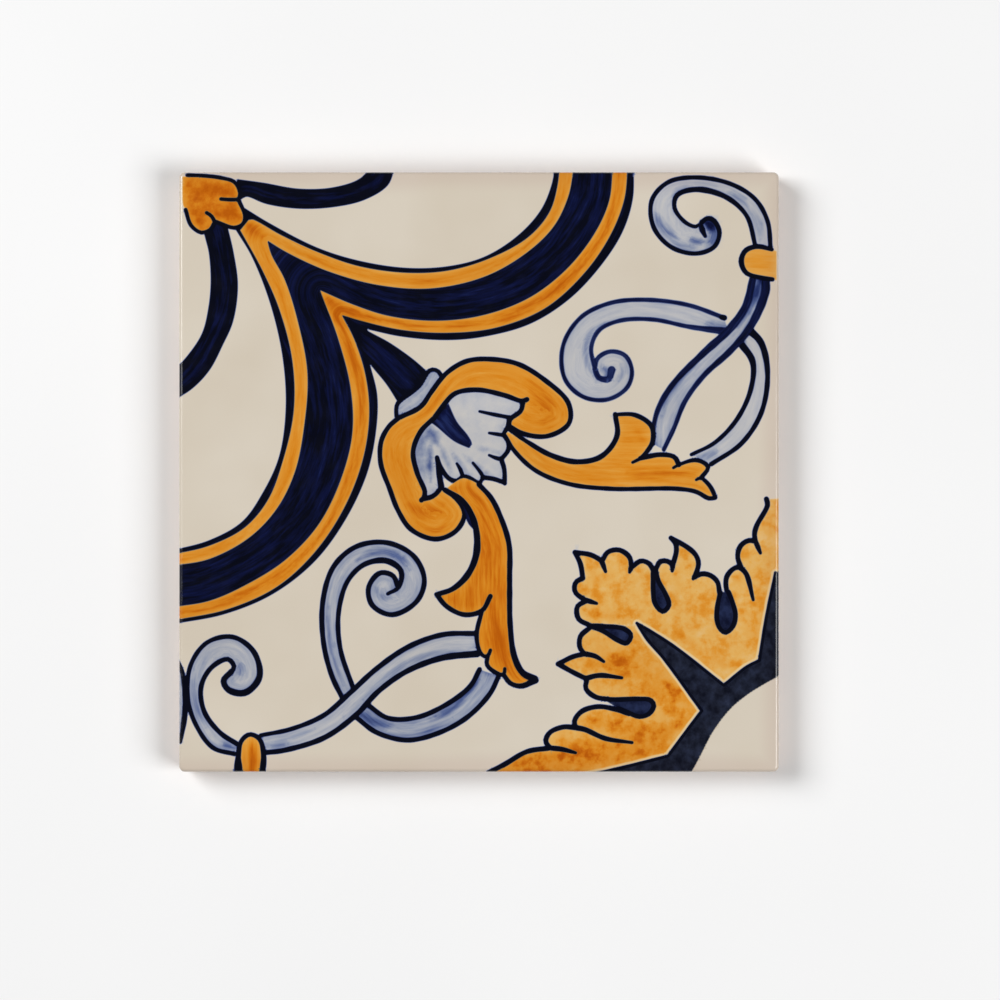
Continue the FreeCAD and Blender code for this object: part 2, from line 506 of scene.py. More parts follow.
def right_leaf(d):
    """The ochre leaf that runs from the flower to the right and curls up in a barb."""
    upper = [(548, 433), (581, 450), (620, 472), (663, 483), (704, 474), (730, 440), (727, 404)]
    barb = [(727, 404), (760, 405), (787, 423), (789, 451), (769, 477)]
    first_lobe = [(769, 477), (802, 471), (826, 475), (833, 488)]
    second_lobe = [(833, 488), (863, 480), (882, 492), (870, 510)]
    tip = [(870, 510), (886, 525), (894, 542)]
    lower = [(894, 543), (883, 544), (862, 533), (830, 528), (720, 528), (650, 520), (595, 498), (560, 466),
             (542, 438)]
    d.fill("ochre", upper, barb, first_lobe, second_lobe, tip, lower,
           density=0.95, guide=lower)
    d.dabs("ochre", [
        ([(740, 500), (800, 504), (865, 500)], 16, 0.5),
        ([(590, 476), (660, 508), (730, 516)], 10, 0.25),
        ([(760, 426), (778, 454)], 12, 0.3),
    ])
    d.line([(550, 429)] + upper[1:], (6, 8.5, 8.5, 8))
    d.line(barb + [(756, 484)], (5.5, 7.5, 8, 7.5, 4.5))
    d.line(first_lobe)
    d.line([(824, 493)] + second_lobe, (4.5, 7, 7))
    d.line([(862, 513)] + tip, (4.5, 7, 7))
    d.line(lower, 7)


def down_leaf(d):
    """The ochre leaf that runs down from the flower, with a barb to the left."""
    left = [(444, 529), (474, 549), (493, 586), (496, 634), (482, 670), (456, 695), (429, 704)]
    barb = [(429, 704), (446, 724), (476, 738), (505, 731)]
    side = [(505, 731), (496, 772), (502, 801), (510, 808), (515, 806)]
    lobe = [(515, 806), (513, 821), (527, 834), (541, 838)]
    tip = [(541, 838), (552, 852), (570, 857), (594, 847)]
    right = [(593, 845), (573, 835), (559, 808), (552, 755), (551, 680), (550, 620), (536, 575), (520, 543),
             (500, 521)]
    top = [right[-1], (488, 514), (473, 510), (458, 518), left[0]]
    d.fill("ochre", left, barb, side, lobe, tip, right, top, density=1.12, guide=right)
    d.fill("bloom", [(459, 539), (476, 552), (489, 574), (493, 598)],
           [(493, 598), (482, 586), (476, 570), (472, 558), (459, 539)])
    d.dabs("ochre", [
        ([(520, 720), (534, 790), (558, 836), (584, 847)], 22, 0.7),
        ([(496, 555), (513, 610), (510, 660)], 12, 0.5),
    ])
    d.line(left, (6.3, 9, 11, 10, 7.2))
    d.line(barb + [(519, 707)])
    d.line(side + [(519, 797)], (7, 7, 5.5))
    d.line(lobe + [(543, 828)], (7, 7, 5.5))
    d.line(tip, (7.7, 7.7, 11))
    d.line(right, (11.5, 8.5, 8.5, 8.5, 8))


def right_scrolls(d):
    """The blue ribbons at the right: the lower ones first, since the others cross over them."""
    ribbon(d, edges=[  # the arc that bows out to the right
        [(949, 262), (970, 284), (981, 335), (971, 400), (938, 452), (887, 487)],
        [(854, 471), (893, 451), (930, 412), (953, 362), (956, 316), (935, 284)],
    ], shades=[
        ([(932, 270), (942, 283)], 12, 0.6),
        ([(864, 476), (882, 472), (900, 460)], 9, 0.3),
    ], widths=[(12, 8, 7.5, 7), (5.5, 7, 7.5, 12)], wash=0.9)
    spiral = [(693, 328), (700, 343), (716, 345), (721, 330)]
    ribbon(d, edges=[  # the ribbon that winds up in a spiral
        [(909, 243), (850, 222), (780, 213), (720, 218), (670, 242), (640, 290), (643, 345), (674, 375),
         (715, 379), (747, 359), (755, 332), (744, 306), (718, 299), (697, 311), spiral[0]],
        [(692, 323), (687, 293), (700, 264), (734, 248), (790, 246), (850, 258), (915, 266)],
    ], shades=[
        ([(712, 250), (690, 264), (679, 286), (680, 316), (698, 350)], 8, 0.25),
        ([(704, 323), (712, 332), (710, 342)], 10, 0.4),
        ([(736, 316), (740, 332), (730, 352)], 7, 0.2),
        ([(875, 252), (915, 258)], 9, 0.3),
    ], widths=[7.2, (7, 7, 7, 7, 13)], wash=1.05, ink=0.68)
    d.line(spiral, (8.1, 10, 13), density=0.68)
    d.line([(905, 242), (909, 243)], 9)
    ribbon(d, edges=[  # the ribbon that comes down from the knot and crosses both
        [(956, 179), (945, 223), (919, 260), (874, 302), (826, 350), (802, 387), (792, 418), (791, 454)],
        [(808, 463), (825, 427), (843, 383), (875, 339), (918, 299), (949, 263), (970, 222), (978, 196),
         (977, 179)],
    ], shades=[
        ([(969, 170), (967, 196), (959, 220)], 18, 0.6),
        ([(960, 190), (953, 218), (930, 258)], 9, 0.4),
        ([(974, 202), (966, 229), (936, 274)], 8, 0.4),
        ([(865, 315), (835, 346), (812, 378), (804, 410)], 7, 0.3),
    ], widths=[(12, 13.5, 12.5, 10, 9, 5), (6.8, 7.7, 8.5, 11, 13.5, 15)], wash=1.35, ink=0.72)
    ribbon(d, edges=[  # the ribbon above the knot, which ends in a bulb
        [(986, 126), (981, 82), (960, 45), (920, 20), (863, 9), (815, 17), (788, 47), (791, 92), (820, 125),
         (862, 136), (893, 124), (901, 99), (890, 79), (879, 77), (870, 85)],
        [(870, 85), (862, 91), (844, 84), (826, 60), (830, 39), (863, 29), (912, 42), (946, 73), (961, 125)],
    ], shades=[
        ([(872, 83), (885, 86), (893, 98)], 19, 0.95),
        ([(886, 90), (891, 108), (880, 124)], 18, 0.45),
        ([(794, 66), (802, 86), (816, 102), (832, 110)], 13, 0.34),
        ([(816, 110), (836, 123), (862, 127)], 8, 0.3),
        ([(848, 111), (862, 116), (876, 116)], 9, 0.4),
        ([(822, 46), (832, 32), (854, 25)], 9, 0.3),
        ([(916, 32), (938, 46), (948, 56)], 8, 0.3),
        ([(946, 54), (963, 84), (970, 116)], 10, 0.2),
    ], widths=[7, (5.5, 7, 9.5, 7, 7)])
    d.line([(869, 86), (872, 96), (877, 107)], (7, 10, 6), density=0.8)
    knot = [(996, 132), (964, 124), (944, 131), (937, 149), (945, 168), (965, 175), (996, 180)]
    d.fill("ochre", knot, density=0.84, guide=[(930, 150), (1000, 152)])
    d.line([(988, 129)] + knot[1:-1] + [(989, 179)], (6.5, 8, 8.5, 7, 7))


def bottom_scrolls(d):
    """The blue ribbons below: the lower ones first, since the others cross over them."""
    ribbon(d, edges=[  # the arc that bows out below
        [(293, 907), (329, 934), (380, 947), (430, 936), (479, 910), (518, 870), (533, 840)],
        [(501, 829), (486, 856), (448, 886), (396, 909), (348, 910), (312, 886)],
    ], shades=[
        ([(296, 896), (324, 916), (355, 924)], 14, 0.42),
        ([(415, 914), (450, 896), (480, 870), (504, 842)], 10, 0.4),
        ([(350, 936), (385, 939), (420, 930), (460, 908)], 7, 0.25),
    ], wash=1.7)
    ribbon(d, edges=[  # the ribbon that winds up in a spiral
        [(274, 880), (254, 838), (240, 778), (240, 713), (258, 657), (296, 624), (348, 618), (392, 641),
         (409, 680), (396, 716), (355, 738), (322, 722), (316, 692), (335, 668), (357, 673), (364, 689)],
        [(348, 703), (366, 692), (370, 665), (346, 648), (309, 654), (281, 682), (266, 735), (269, 795),
         (291, 862)],
    ], shades=[
        ([(296, 647), (320, 636), (348, 634), (372, 647), (388, 668)], 11, 0.4),
        ([(326, 690), (335, 706), (352, 712)], 9, 0.2),
        ([(250, 720), (249, 770), (260, 820), (276, 860)], 7, 0.25),
    ], widths=[8, (5.5, 10, 7.5, 7.5, 7.5, 7.5)], wash=1.4)
    ribbon(d, edges=[  # the ribbon from the knot to the leaf, which crosses both
        [(136, 939), (188, 928), (242, 905), (285, 868), (329, 828), (383, 791), (440, 771), (496, 769)],
        [(497, 803), (438, 810), (380, 832), (333, 865), (294, 906), (242, 943), (175, 964), (142, 968)],
    ], shades=[
        ([(144, 958), (162, 956), (186, 952)], 9, 0.3),
        ([(146, 947), (180, 943), (230, 926)], 6, 0.2),
        ([(270, 910), (310, 876), (355, 836), (405, 809), (494, 793)], 8, 0.25),
    ], widths=[(6.5, 8, 8.5, 8), (11, 8.5, 8.5, 8)], wash=1.15)
    stroke = [(-5, 810), (5, 832), (10, 866), (10, 900), (6, 930), (2, 950)]
    d.fill("wash", stroke, [(-8, 950)], density=1.3)
    d.line(stroke, (6, 8, 9, 9, 6))  # at the edge of the face, where the next ribbon touches it
    ribbon(d, edges=[  # the ribbon that ends in a bulb at the left
        [(92, 970), (57, 960), (30, 925), (15, 880), (19, 823), (47, 784), (90, 775), (125, 800), (134, 842),
         (110, 868), (82, 863), (74, 848), (87, 833)],
        [(87, 833), (92, 825), (82, 812), (55, 825), (37, 857), (42, 899), (68, 934), (98, 954)],
    ], shades=[
        ([(96, 816), (104, 828), (99, 842)], 9, 0.25),
        ([(25, 826), (24, 860), (29, 896), (46, 930)], 7, 0.28),
        ([(70, 952), (92, 960)], 10, 0.35),
    ], widths=[(7, 7, 7, 7, 8, 11, 9), LINE], wash=1.35)
    knot = [(100, 1009), (99, 970), (104, 948), (118, 937), (134, 945), (141, 970), (134, 1009)]
    d.fill("ochre", knot, density=0.92, guide=[(120, 930), (120, 1010)])
    d.dabs("ochre", [([(119, 948), (123, 976), (122, 1015)], 19, 0.75)])
    d.line([(99, 1009)] + knot[1:-1] + [(138, 1009)], (17.5, 9, 7.2, 7.2, 9, 11))


def rosette(d):
    """The rosette in the lower right corner: two lobed ochre leaves, dark drops and a dark star."""
    leaves(d)
    for drop in [  # each from its neck round to the neck again
        [(790, 660), (790, 696), (793, 719), (806, 733), (817, 722), (811, 703), (799, 681), (794, 660)],
        [(902, 700), (897, 724), (896, 744), (901, 761), (911, 768), (923, 758), (928, 739), (923, 718),
         (916, 700)],
        [(686, 756), (710, 757), (742, 761), (754, 772), (746, 786), (732, 781), (706, 765), (690, 759)],
        [(706, 878), (730, 879), (766, 878), (786, 880), (792, 889), (784, 903), (768, 908), (750, 902),
         (732, 894)],
    ]:
        d.fill("drop", drop)
        d.line(drop, 7.2)
    points = joined(
        (1010, 662),
        [(994, 668)],
        [(979, 740), (967, 814)],
        [(947, 824), (908, 855)],
        [(830, 794), (794, 770), (763, 752)],
        [(780, 779), (807, 810), (871, 898)],
        [(852, 923), (815, 973)],
        [(744, 991), (665, 1009)],
        [(665, 1015)],
        [(846, 1015)],
    )
    ring = [(846, 1015), (868, 975), (890, 933), (919, 895), (952, 868), (1010, 834)]
    for run in points[1:7]:
        d.line(run, 13, "pale")
    d.fill("star", *points, ring)
    for run in points[1:7]:
        d.line(run, 4.5)
    d.fill("ground", ring, [(1010, 1015)])


def leaves(d):
    """The two lobed leaves of the rosette, with the notches between their lobes."""
    upper = joined(  # lobe by lobe, each run ending in the notch before the next
        (979, 545),
        [(981, 555), (963, 589), (959, 604), (961, 616)],
        [(950, 614), (936, 623), (931, 642), (937, 659)],
        [(926, 660), (913, 674), (912, 694), (916, 706)],
        [(901, 701)],
        [(897, 682), (883, 671), (870, 670), (860, 675)],
        [(866, 652), (861, 638), (848, 626), (820, 610)],
        [(828, 620), (829, 632), (823, 655)],
        [(815, 649), (802, 649), (795, 662)],
        [(790, 663)],
        [(784, 653), (770, 648), (754, 659)],
        [(751, 642), (734, 630), (715, 633), (705, 648)],
        [(686, 638), (660, 634)],
        [(669, 653), (673, 677)],
        [(661, 684), (660, 700), (679, 715)],
        [(664, 724), (666, 745), (686, 756)],
    )
    lower = joined(
        (684, 760),
        [(669, 774), (668, 793), (676, 803)],
        [(656, 808), (632, 820)],
        [(659, 835), (680, 845)],
        [(678, 861), (694, 875), (718, 879)],
        [(750, 903)],
        [(726, 895), (698, 891), (671, 899), (659, 915), (661, 926)],
        [(640, 925), (617, 935), (611, 950), (619, 960)],
        [(580, 966), (543, 987), (516, 1001)],
    )
    tip, heart = (766, 756), (930, 890)  # of the star's arm between the leaves
    d.fill("mottled", *upper, [tip], [heart], [(1010, 845)], [(1010, 545)], density=1.03)
    d.fill("mottled", *lower, [(514, 1010)], [(860, 1010)], [heart], [tip], density=1.16)
    d.dabs("ochre", [
        ([(520, 1020), (640, 982), (760, 958), (860, 906)], 44, 0.5),
        ([(545, 996), (590, 976), (650, 974)], 18, 0.4),
        ([(805, 846), (836, 872), (860, 900)], 20, 0.45),
        ([(680, 820), (740, 820), (790, 850), (830, 900)], 50, 0.3),
        ([(665, 910), (730, 920), (790, 930)], 26, 0.35),
        ([(680, 734), (725, 740), (770, 734)], 14, 0.3),
        ([(686, 664), (698, 682), (694, 696)], 16, 0.35),
        ([(830, 768), (885, 812), (928, 822)], 16, 0.3),
        ([(956, 715), (962, 765), (946, 810)], 10, 0.22),
        ([(926, 670), (936, 684)], 10, 0.35),
    ])
    for run in upper + lower:
        if len(run) > 2:
            d.line(run, 8)
    for notch in [
        [(961, 616), (969, 635)],
        [(934, 658), (945, 669), (957, 713)],
        [(860, 674), (857, 678)],
        [(823, 653), (822, 665)],
        [(754, 658), (751, 667)],
        [(704, 647), (711, 666)],
        [(676, 713), (696, 719)],
        [(676, 803), (694, 807), (708, 816)],
        [(678, 844), (700, 839), (738, 843)],
        [(660, 926), (676, 929), (710, 944), (755, 951)],
        [(618, 960), (638, 962), (661, 968)],
    ]:
        d.line(notch, (8.5, 8, 5))


def paint_tile():
    """The whole ornament, from the ribbons at the back to the leaves that lie over them."""
    d = Painting()
    behind = (right_scrolls, bottom_scrolls, rosette, thin_arcs, ogee_band)
    for part in behind + (corner_leaf, stem, flower, calyx, down_leaf, right_leaf):
        part(d)
    return d


def rounded_square(side, radius, step, arc_steps=6):
    """A closed loop round the origin, anticlockwise, with points a step apart along its sides."""
    half, loop = side / 2 - radius, []
    count = max(1, round(2 * half / step))
    for quarter in range(4):
        turn = np.linalg.matrix_power(np.array([[0, 1], [-1, 0]]), quarter)
        edge = np.column_stack([np.linspace(-half, half, count + 1)[:-1], np.full(count, -side / 2)])
        angle = np.linspace(-math.pi / 2, 0, arc_steps + 1)[:-1]
        arc = np.column_stack([half + radius * np.cos(angle), -half + radius * np.sin(angle)])
        loop.append(np.vstack([edge, arc]) @ turn)
    return np.vstack(loop)


def inset_of(points):
    """How far each point of the face lies in from its outline."""
    q = np.abs(points) - (SIDE / 2 - CORNER)
    beyond = np.maximum(q, 0)
    return CORNER - np.hypot(beyond[:, 0], beyond[:, 1]) - np.minimum(q.max(1), 0)


def face_height(points):
    """The height of the face: level, and rolling down to the sides along its edges."""
    short = np.clip(EDGE_ROLL - inset_of(points), 0, EDGE_ROLL)
    return THICKNESS - EDGE_ROLL + np.sqrt(EDGE_ROLL**2 - short**2)


def to_pattern(points):
    """Places on the tile, in millimetres, as those in the pattern."""
    return (points * (1, -1) + SIDE / 2) / UNIT


def to_tile(points):
    """Places in the pattern as those on the tile, in millimetres."""
    return (points * UNIT - SIDE / 2) * (1, -1)


def thin_out(points, gap):
    """The points, without those that share a small square with an earlier one."""
    cells = np.round(points / gap).astype(int)
    first = np.unique(cells, axis=0, return_index=True)[1]
    return points[np.sort(first)]


def clear_of(points, others, gap):
    """The points that lie at least a gap away from all the others."""
    tree = KDTree(len(others))
    for i, (x, y) in enumerate(others):
        tree.insert((x, y, 0), i)
    tree.balance()
    return np.array([p for p in points if tree.find((p[0], p[1], 0))[2] > gap])


def wrong_middles(painting, points, edges):
    """The middles of the edges where the paint isn't halfway between that of their ends."""
    values = np.column_stack(painting.pigments(to_pattern(points))[:2])
    ends = np.array(edges).T
    spans = np.linalg.norm(points[ends[0]] - points[ends[1]], axis=1)
    jumps = np.abs(values[ends[0]] - values[ends[1]]).max(1)
    ends = ends[:, (spans > 3 * SOFT * UNIT) & (jumps > STEEP)]
    middles = points[ends].mean(0)
    true = np.column_stack(painting.pigments(to_pattern(middles))[:2])
    return middles[np.abs(true - values[ends].mean(0)).max(1) > MISSED]


def face_triangles(painting):
    """Points of the face and its triangles, with points along every painted edge.

    Also the numbers of the points along the face's outline, in order.
    """
    insets = [EDGE_ROLL * (1 - math.sin(math.radians(a))) for a in ROLL_TURNS]
    loops = [rounded_square(SIDE - 2 * inset, CORNER - inset, SIDE_STEP) for inset in insets]
    edges, start = [], 0
    for loop in loops:
        edges += [(start + i, start + (i + 1) % len(loop)) for i in range(len(loop))]
        start += len(loop)
    lattice = np.arange(-SIDE / 2, SIDE / 2, FACE_STEP)
    grid = np.column_stack([c.ravel() for c in np.meshgrid(lattice, lattice)])
    hard, soft = (to_tile(p) for p in painting.outline_points())
    drawn = np.vstack([hard, clear_of(soft, hard, DAB_GAP)])
    free = np.vstack([drawn, clear_of(grid, drawn, FACE_GAP)])
    for repeat in range(REFINEMENTS + 1):
        free = free[(np.abs(free) < SIDE / 2).all(1)]
        free = free[inset_of(free) > OUTLINE_GAP]
        free = thin_out(free, LEAST_GAP * UNIT)
        points = [Vector(p) for p in np.vstack(loops + [free])]
        placed, sides, triangles, origins = delaunay_2d_cdt(points, edges, [], 0, MERGED)[:4]
        placed = np.array(placed)
        if repeat < REFINEMENTS:
            free = np.vstack([free, wrong_middles(painting, placed, sides)])
    outline = {old[0]: new for new, old in enumerate(origins) if old and old[0] < len(loops[0])}
    return placed, [list(t) for t in triangles], [outline[i] for i in range(len(loops[0]))]


class Mesh:
    """Points and faces of the piece, gathered part by part."""

    def __init__(self):
        self.points, self.faces, self.finish = [], [], []

    def ring(self, loop, height):
        """Adds a loop of points at one height, and returns their numbers."""
        start = len(self.points)
        self.points += [(x, y, height) for x, y in loop]
        return list(range(start, len(self.points)))

    def band(self, upper, lower):
        """Joins two rings of the same count with a row of faces that look outwards."""
        for i in range(len(upper)):
            j = (i + 1) % len(upper)
            self.add([upper[i], lower[i], lower[j], upper[j]], BARE)

    def add(self, face, finish):
        """Adds a face, given by the numbers of its points."""
        self.faces.append(face)
        self.finish.append(finish)


def build_back(mesh, ring):
    """The keyed back: the land round and between the keys, and their sloped walls and floors."""
    keyed = SIDE - 2 * BEVEL_WIDTH - 2 * RIM
    key = (keyed - (KEYS - 1) * RIB) / KEYS
    slope = KEY_DEPTH * math.tan(KEY_DRAFT)
    middles = [-keyed / 2 + key / 2 + i * (key + RIB) for i in range(KEYS)]
    loops = [ring]
    for x in middles:
        for y in middles:
            mouth = mesh.ring(rounded_square(key, KEY_CORNER, KEY_STEP) + (x, y), 0.0)
            floor_loop = rounded_square(key - 2 * slope, KEY_CORNER - slope, KEY_STEP)
            floor = mesh.ring(floor_loop + (x, y), KEY_DEPTH)
            loops.append(mouth)
            mesh.band(mouth, floor)
            mesh.add(floor[::-1], BARE)
    numbers = [n for loop in loops for n in loop]
    flat = [Vector(mesh.points[n][:2]) for n in numbers]
    place = {n: i for i, n in enumerate(numbers)}
    edges = [(place[a], place[b]) for loop in loops for a, b in zip(loop, loop[1:] + loop[:1])]
    triangles, origins = delaunay_2d_cdt(flat, edges, [], 0, MERGED)[2:4]
    owner = {n: k for k, loop in enumerate(loops) for n in loop}
    for triangle in triangles:
        corners = [numbers[origins[i][0]] for i in reversed(triangle)]
        owners = {owner[n] for n in corners}
        if len(owners) > 1 or 0 in owners:  # not over the mouth of a key
            mesh.add(corners, BARE)


def build_tile():
    """The piece: painted face, sides, bevel and keyed back in one closed mesh."""
    painting = paint_tile()
    flat, triangles, outline = face_triangles(painting)
    cobalt, ochre, blotch, brush = painting.pigments(to_pattern(flat))
    mesh = Mesh()
    mesh.points = [(x, y, z) for (x, y), z in zip(flat, face_height(flat))]
    for triangle in triangles:
        mesh.add(triangle, GLAZED)
    plan = flat[outline]
    low_side = mesh.ring(plan, BEVEL_HEIGHT)
    straight = SIDE / 2 - CORNER
    corner = np.clip(plan, -straight, straight)
    drawn_in = corner * (1 - BEVEL_WIDTH / straight) + (plan - corner)
    back = mesh.ring(drawn_in, 0.0)
    mesh.band(outline, low_side)
    mesh.band(low_side, back)
    build_back(mesh, back)

    data = bpy.data.meshes.new("azulejo_tile_painted")
    data.from_pydata([(x * MM, y * MM, z * MM) for x, y, z in mesh.points], [], mesh.faces)
    data.polygons.foreach_set("material_index", mesh.finish)
    data.polygons.foreach_set("use_smooth", [finish == GLAZED for finish in mesh.finish])
    extra = len(mesh.points) - len(flat)
    for name, values in (("cobalt", cobalt), ("ochre", ochre), ("blotch", blotch)):
        layer = data.attributes.new(name, "FLOAT", "POINT")
        layer.data.foreach_set("value", np.concatenate([values, np.zeros(extra)]))
    layer = data.attributes.new("brush", "FLOAT_VECTOR", "POINT")
    layer.data.foreach_set("vector", np.vstack([brush, np.zeros((extra, 3))]).ravel())
    map_texture(data)
    piece = bpy.data.objects.new("azulejo_tile_painted", data)
    bpy.context.collection.objects.link(piece)
    piece.data.materials.append(glaze_material())
    piece.data.materials.append(biscuit_material())
    return piece


def map_texture(data):
    """A flat map for textures: most of it is the face, and the rest goes round it."""
    layer = data.uv_layers.new(name="OFBake")
    half, thick = SIDE * MM / 2, THICKNESS * MM
    for polygon in data.polygons:
        x, y, z = polygon.center
        on_back = z < KEY_DEPTH * MM * 1.01 and max(abs(x), abs(y)) < half - BEVEL_WIDTH * MM
        side = math.floor(math.atan2(y, x) / (math.pi / 2) + 0.5) % 4
        for corner in polygon.loop_indices:
            px, py, pz = data.vertices[data.loops[corner].vertex_index].co
            along = (py, -px, -py, px)[side]
            across, up, along = ((v / half + 1) / 2 for v in (px, py, along))
            if polygon.material_index == GLAZED:
                uv = (MAP_MARGIN + MAP_FACE * across, MAP_MARGIN + MAP_FACE * up)
            elif on_back:
                uv = (MAP_MARGIN + MAP_FACE * across, MAP_BACK_FROM + MAP_BACK * up)
            else:
                down = MAP_SIDE_USED * (thick - pz) / thick
                uv = (MAP_SIDES_FROM + MAP_SIDE * (side + down), MAP_MARGIN + MAP_FACE * along)
            layer.data[corner].uv = uv


def colour(red, green, blue):
    """A screen colour, 0 to 255, as the linear one that Blender's nodes take."""
    parts = [v / 255 for v in (red, green, blue)]
    return [v / 12.92 if v <= 0.04045 else ((v + 0.055) / 1.055) ** 2.4 for v in parts] + [1]


def new_material(name):
    """A material with only a Principled BSDF, and its tree."""
    material = bpy.data.materials.new(name)
    material.use_nodes = True
    return material, material.node_tree, material.node_tree.nodes["Principled BSDF"]


def add(tree, kind, *values, settings=None, **named):
    """The outputs of a new node, whose inputs are given in order or by name, as values or sockets."""
    node = tree.nodes.new("ShaderNode" + kind)
    for name, value in (settings or {}).items():
        setattr(node, name, value)
    for socket, value in zip(node.inputs, values):
        connect(tree, socket, value)
    for name, value in named.items():
        connect(tree, node.inputs[name], value)
    return node.outputs


def connect(tree, socket, value):
    """Feeds an input from another socket, or sets it to a value."""
    if isinstance(value, bpy.types.NodeSocket):
        tree.links.new(value, socket)
    else:
        socket.default_value = value


def math_node(tree, operation, *values):
    """The result of a sum with the values."""
    return add(tree, "Math", *values, settings={"operation": operation})[0]


def spread(tree, value, low, high, new_low, new_high, smooth_step=False):
    """The value mapped from one range to another."""
    kind = {"interpolation_type": "SMOOTHSTEP" if smooth_step else "LINEAR"}
    return add(tree, "MapRange", value, low, high, new_low, new_high, settings=kind)[0]


def ramp(tree, value, stops):
    """A colour ramp from (place, colour) stops."""
    node = tree.nodes.new("ShaderNodeValToRGB")
    elements = node.color_ramp.elements
    for place, shade in stops[1:-1]:
        elements.new(place)
    for element, (place, shade) in zip(elements, stops):
        element.position = place
        element.color = shade
    tree.links.new(value, node.inputs[0])
    return node.outputs[0]


def mix(tree, factor, a, b, blend="MIX"):
    """The second colour laid over the first by the factor."""
    return add(tree, "MixRGB", factor, a, b, settings={"blend_type": blend})[0]


def noise(tree, place, scale, detail=3.0, roughness=0.5):
    """Cloudy noise, about 0.5."""
    return add(tree, "TexNoise", Vector=place, Scale=scale, Detail=detail, Roughness=roughness)[0]


def dress(tree, shader, tint, roughness, height, strength, distance):
    """Gives the shader its colour, its roughness and bumps of that height."""
    bump = add(tree, "Bump", Height=height, Strength=strength, Distance=distance)[0]
    for name, value in (("Base Color", tint), ("Roughness", roughness), ("Normal", bump)):
        connect(tree, shader.inputs[name], value)


CREAM = (214, 204, 188)
COBALT_STOPS = [
    (0.0, CREAM), (0.08, (199, 196, 193)), (0.16, (184, 185, 190)), (0.3, (148, 156, 176)),
    (0.5, (86, 102, 148)), (0.7, (34, 48, 100)), (0.86, (9, 17, 58)), (1.0, (2, 4, 20)),
]
OCHRE_STOPS = [
    (0.0, CREAM), (0.23, (226, 197, 145)), (0.46, (224, 173, 92)), (0.66, (220, 149, 52)),
    (0.8, (214, 132, 28)), (0.91, (200, 108, 12)), (1.0, (185, 91, 3)),
]
CLAY_STOPS = [(0.3, (201, 160, 128)), (0.5, (211, 173, 141)), (0.7, (219, 186, 157))]
STREAKS = (0.016, 0.15, 0.37)  # how quickly they change along and across the brush, and from shape to shape
THIN_GLAZE_AND_SHADE = (0.0665, 0.0715)  # where the thin glaze and the painted edge shade start and end, in metres from the middle
GLAZE_RUNS = (0.0078, 0.0084)  # heights that its runs are cut off at, in metres and with the noise added


def over_cream(shade):
    """What a coat of that colour lets through of the cream ground below it."""
    return [a / b for a, b in zip(colour(*shade), colour(*CREAM))]


def attribute(tree, name, output="Fac"):
    """What the points of the mesh carry under that name."""
    return add(tree, "Attribute", settings={"attribute_name": name})[output]


def brush_load(tree, streak, swing):
    """How much paint the brush left, about 1, more or less with the streaks."""
    centred = math_node(tree, "SUBTRACT", streak, 0.5)
    return math_node(tree, "MULTIPLY_ADD", centred, swing, 1.0)


def glaze_material():
    """Tin glaze over brushed cobalt and ochre, with the streaks of the brush in both."""
    material, tree, shader = new_material("painted_glaze")
    place = add(tree, "TexCoord")["Object"]
    stretch = add(tree, "Mapping", Vector=attribute(tree, "brush", "Vector"), Scale=STREAKS)[0]
    streak = noise(tree, stretch, 1.0, 4.0, 0.6)
    mottle = noise(tree, place, 260.0, 3.0, 0.55)
    cloud = noise(tree, place, 45.0, 2.0)

    pigment = attribute(tree, "cobalt")
    swing = spread(tree, pigment, 0.2, 0.8, 1.6, 0.62)
    cobalt = math_node(tree, "MULTIPLY", pigment, brush_load(tree, streak, swing))
    ochre = math_node(tree, "MULTIPLY", attribute(tree, "ochre"), brush_load(tree, streak, 0.7))
    patch = spread(tree, noise(tree, place, 300.0, 3.0, 0.6), 0.4, 0.72, -0.06, 0.23, True)
    ochre = math_node(tree, "MULTIPLY_ADD", patch, attribute(tree, "blotch"), ochre)
    warm = ramp(tree, ochre, [(p, colour(*c)) for p, c in OCHRE_STOPS])
    blue = ramp(tree, cobalt, [(p, over_cream(c)) for p, c in COBALT_STOPS])
    paint = mix(tree, 1.0, warm, blue, "MULTIPLY")
    tone = ramp(tree, cloud, [(0.3, colour(248, 246, 243)), (0.7, colour(255, 255, 255))])
    toned = mix(tree, 1.0, paint, tone, "MULTIPLY")

    # along all edges but the left one the colour darkens a little: partly thin glaze with the clay showing
    # through it, partly painted shade on the edges away from the light, so the lit left edge is left out
    axes = add(tree, "SeparateXYZ", Vector=place)
    outer = math_node(tree, "MAXIMUM", axes["X"], math_node(tree, "ABSOLUTE", axes["Y"]))
    edge = math_node(tree, "MULTIPLY_ADD", cloud, 0.004, outer)
    rim = spread(tree, edge, *THIN_GLAZE_AND_SHADE, 0.0, 1.0, True)
    # clay tint of the thin glaze and painted edge shade, multiplied over the paint
    tint = mix(tree, rim, toned, colour(247, 242, 243), "MULTIPLY")
    roughness = spread(tree, mottle, 0.3, 0.7, 0.14, 0.22)
    height = math_node(tree, "MULTIPLY_ADD", pigment, 0.12, noise(tree, place, 90.0, 2.0))
    dress(tree, shader, tint, roughness, height, strength=0.25, distance=0.0004)
    return material


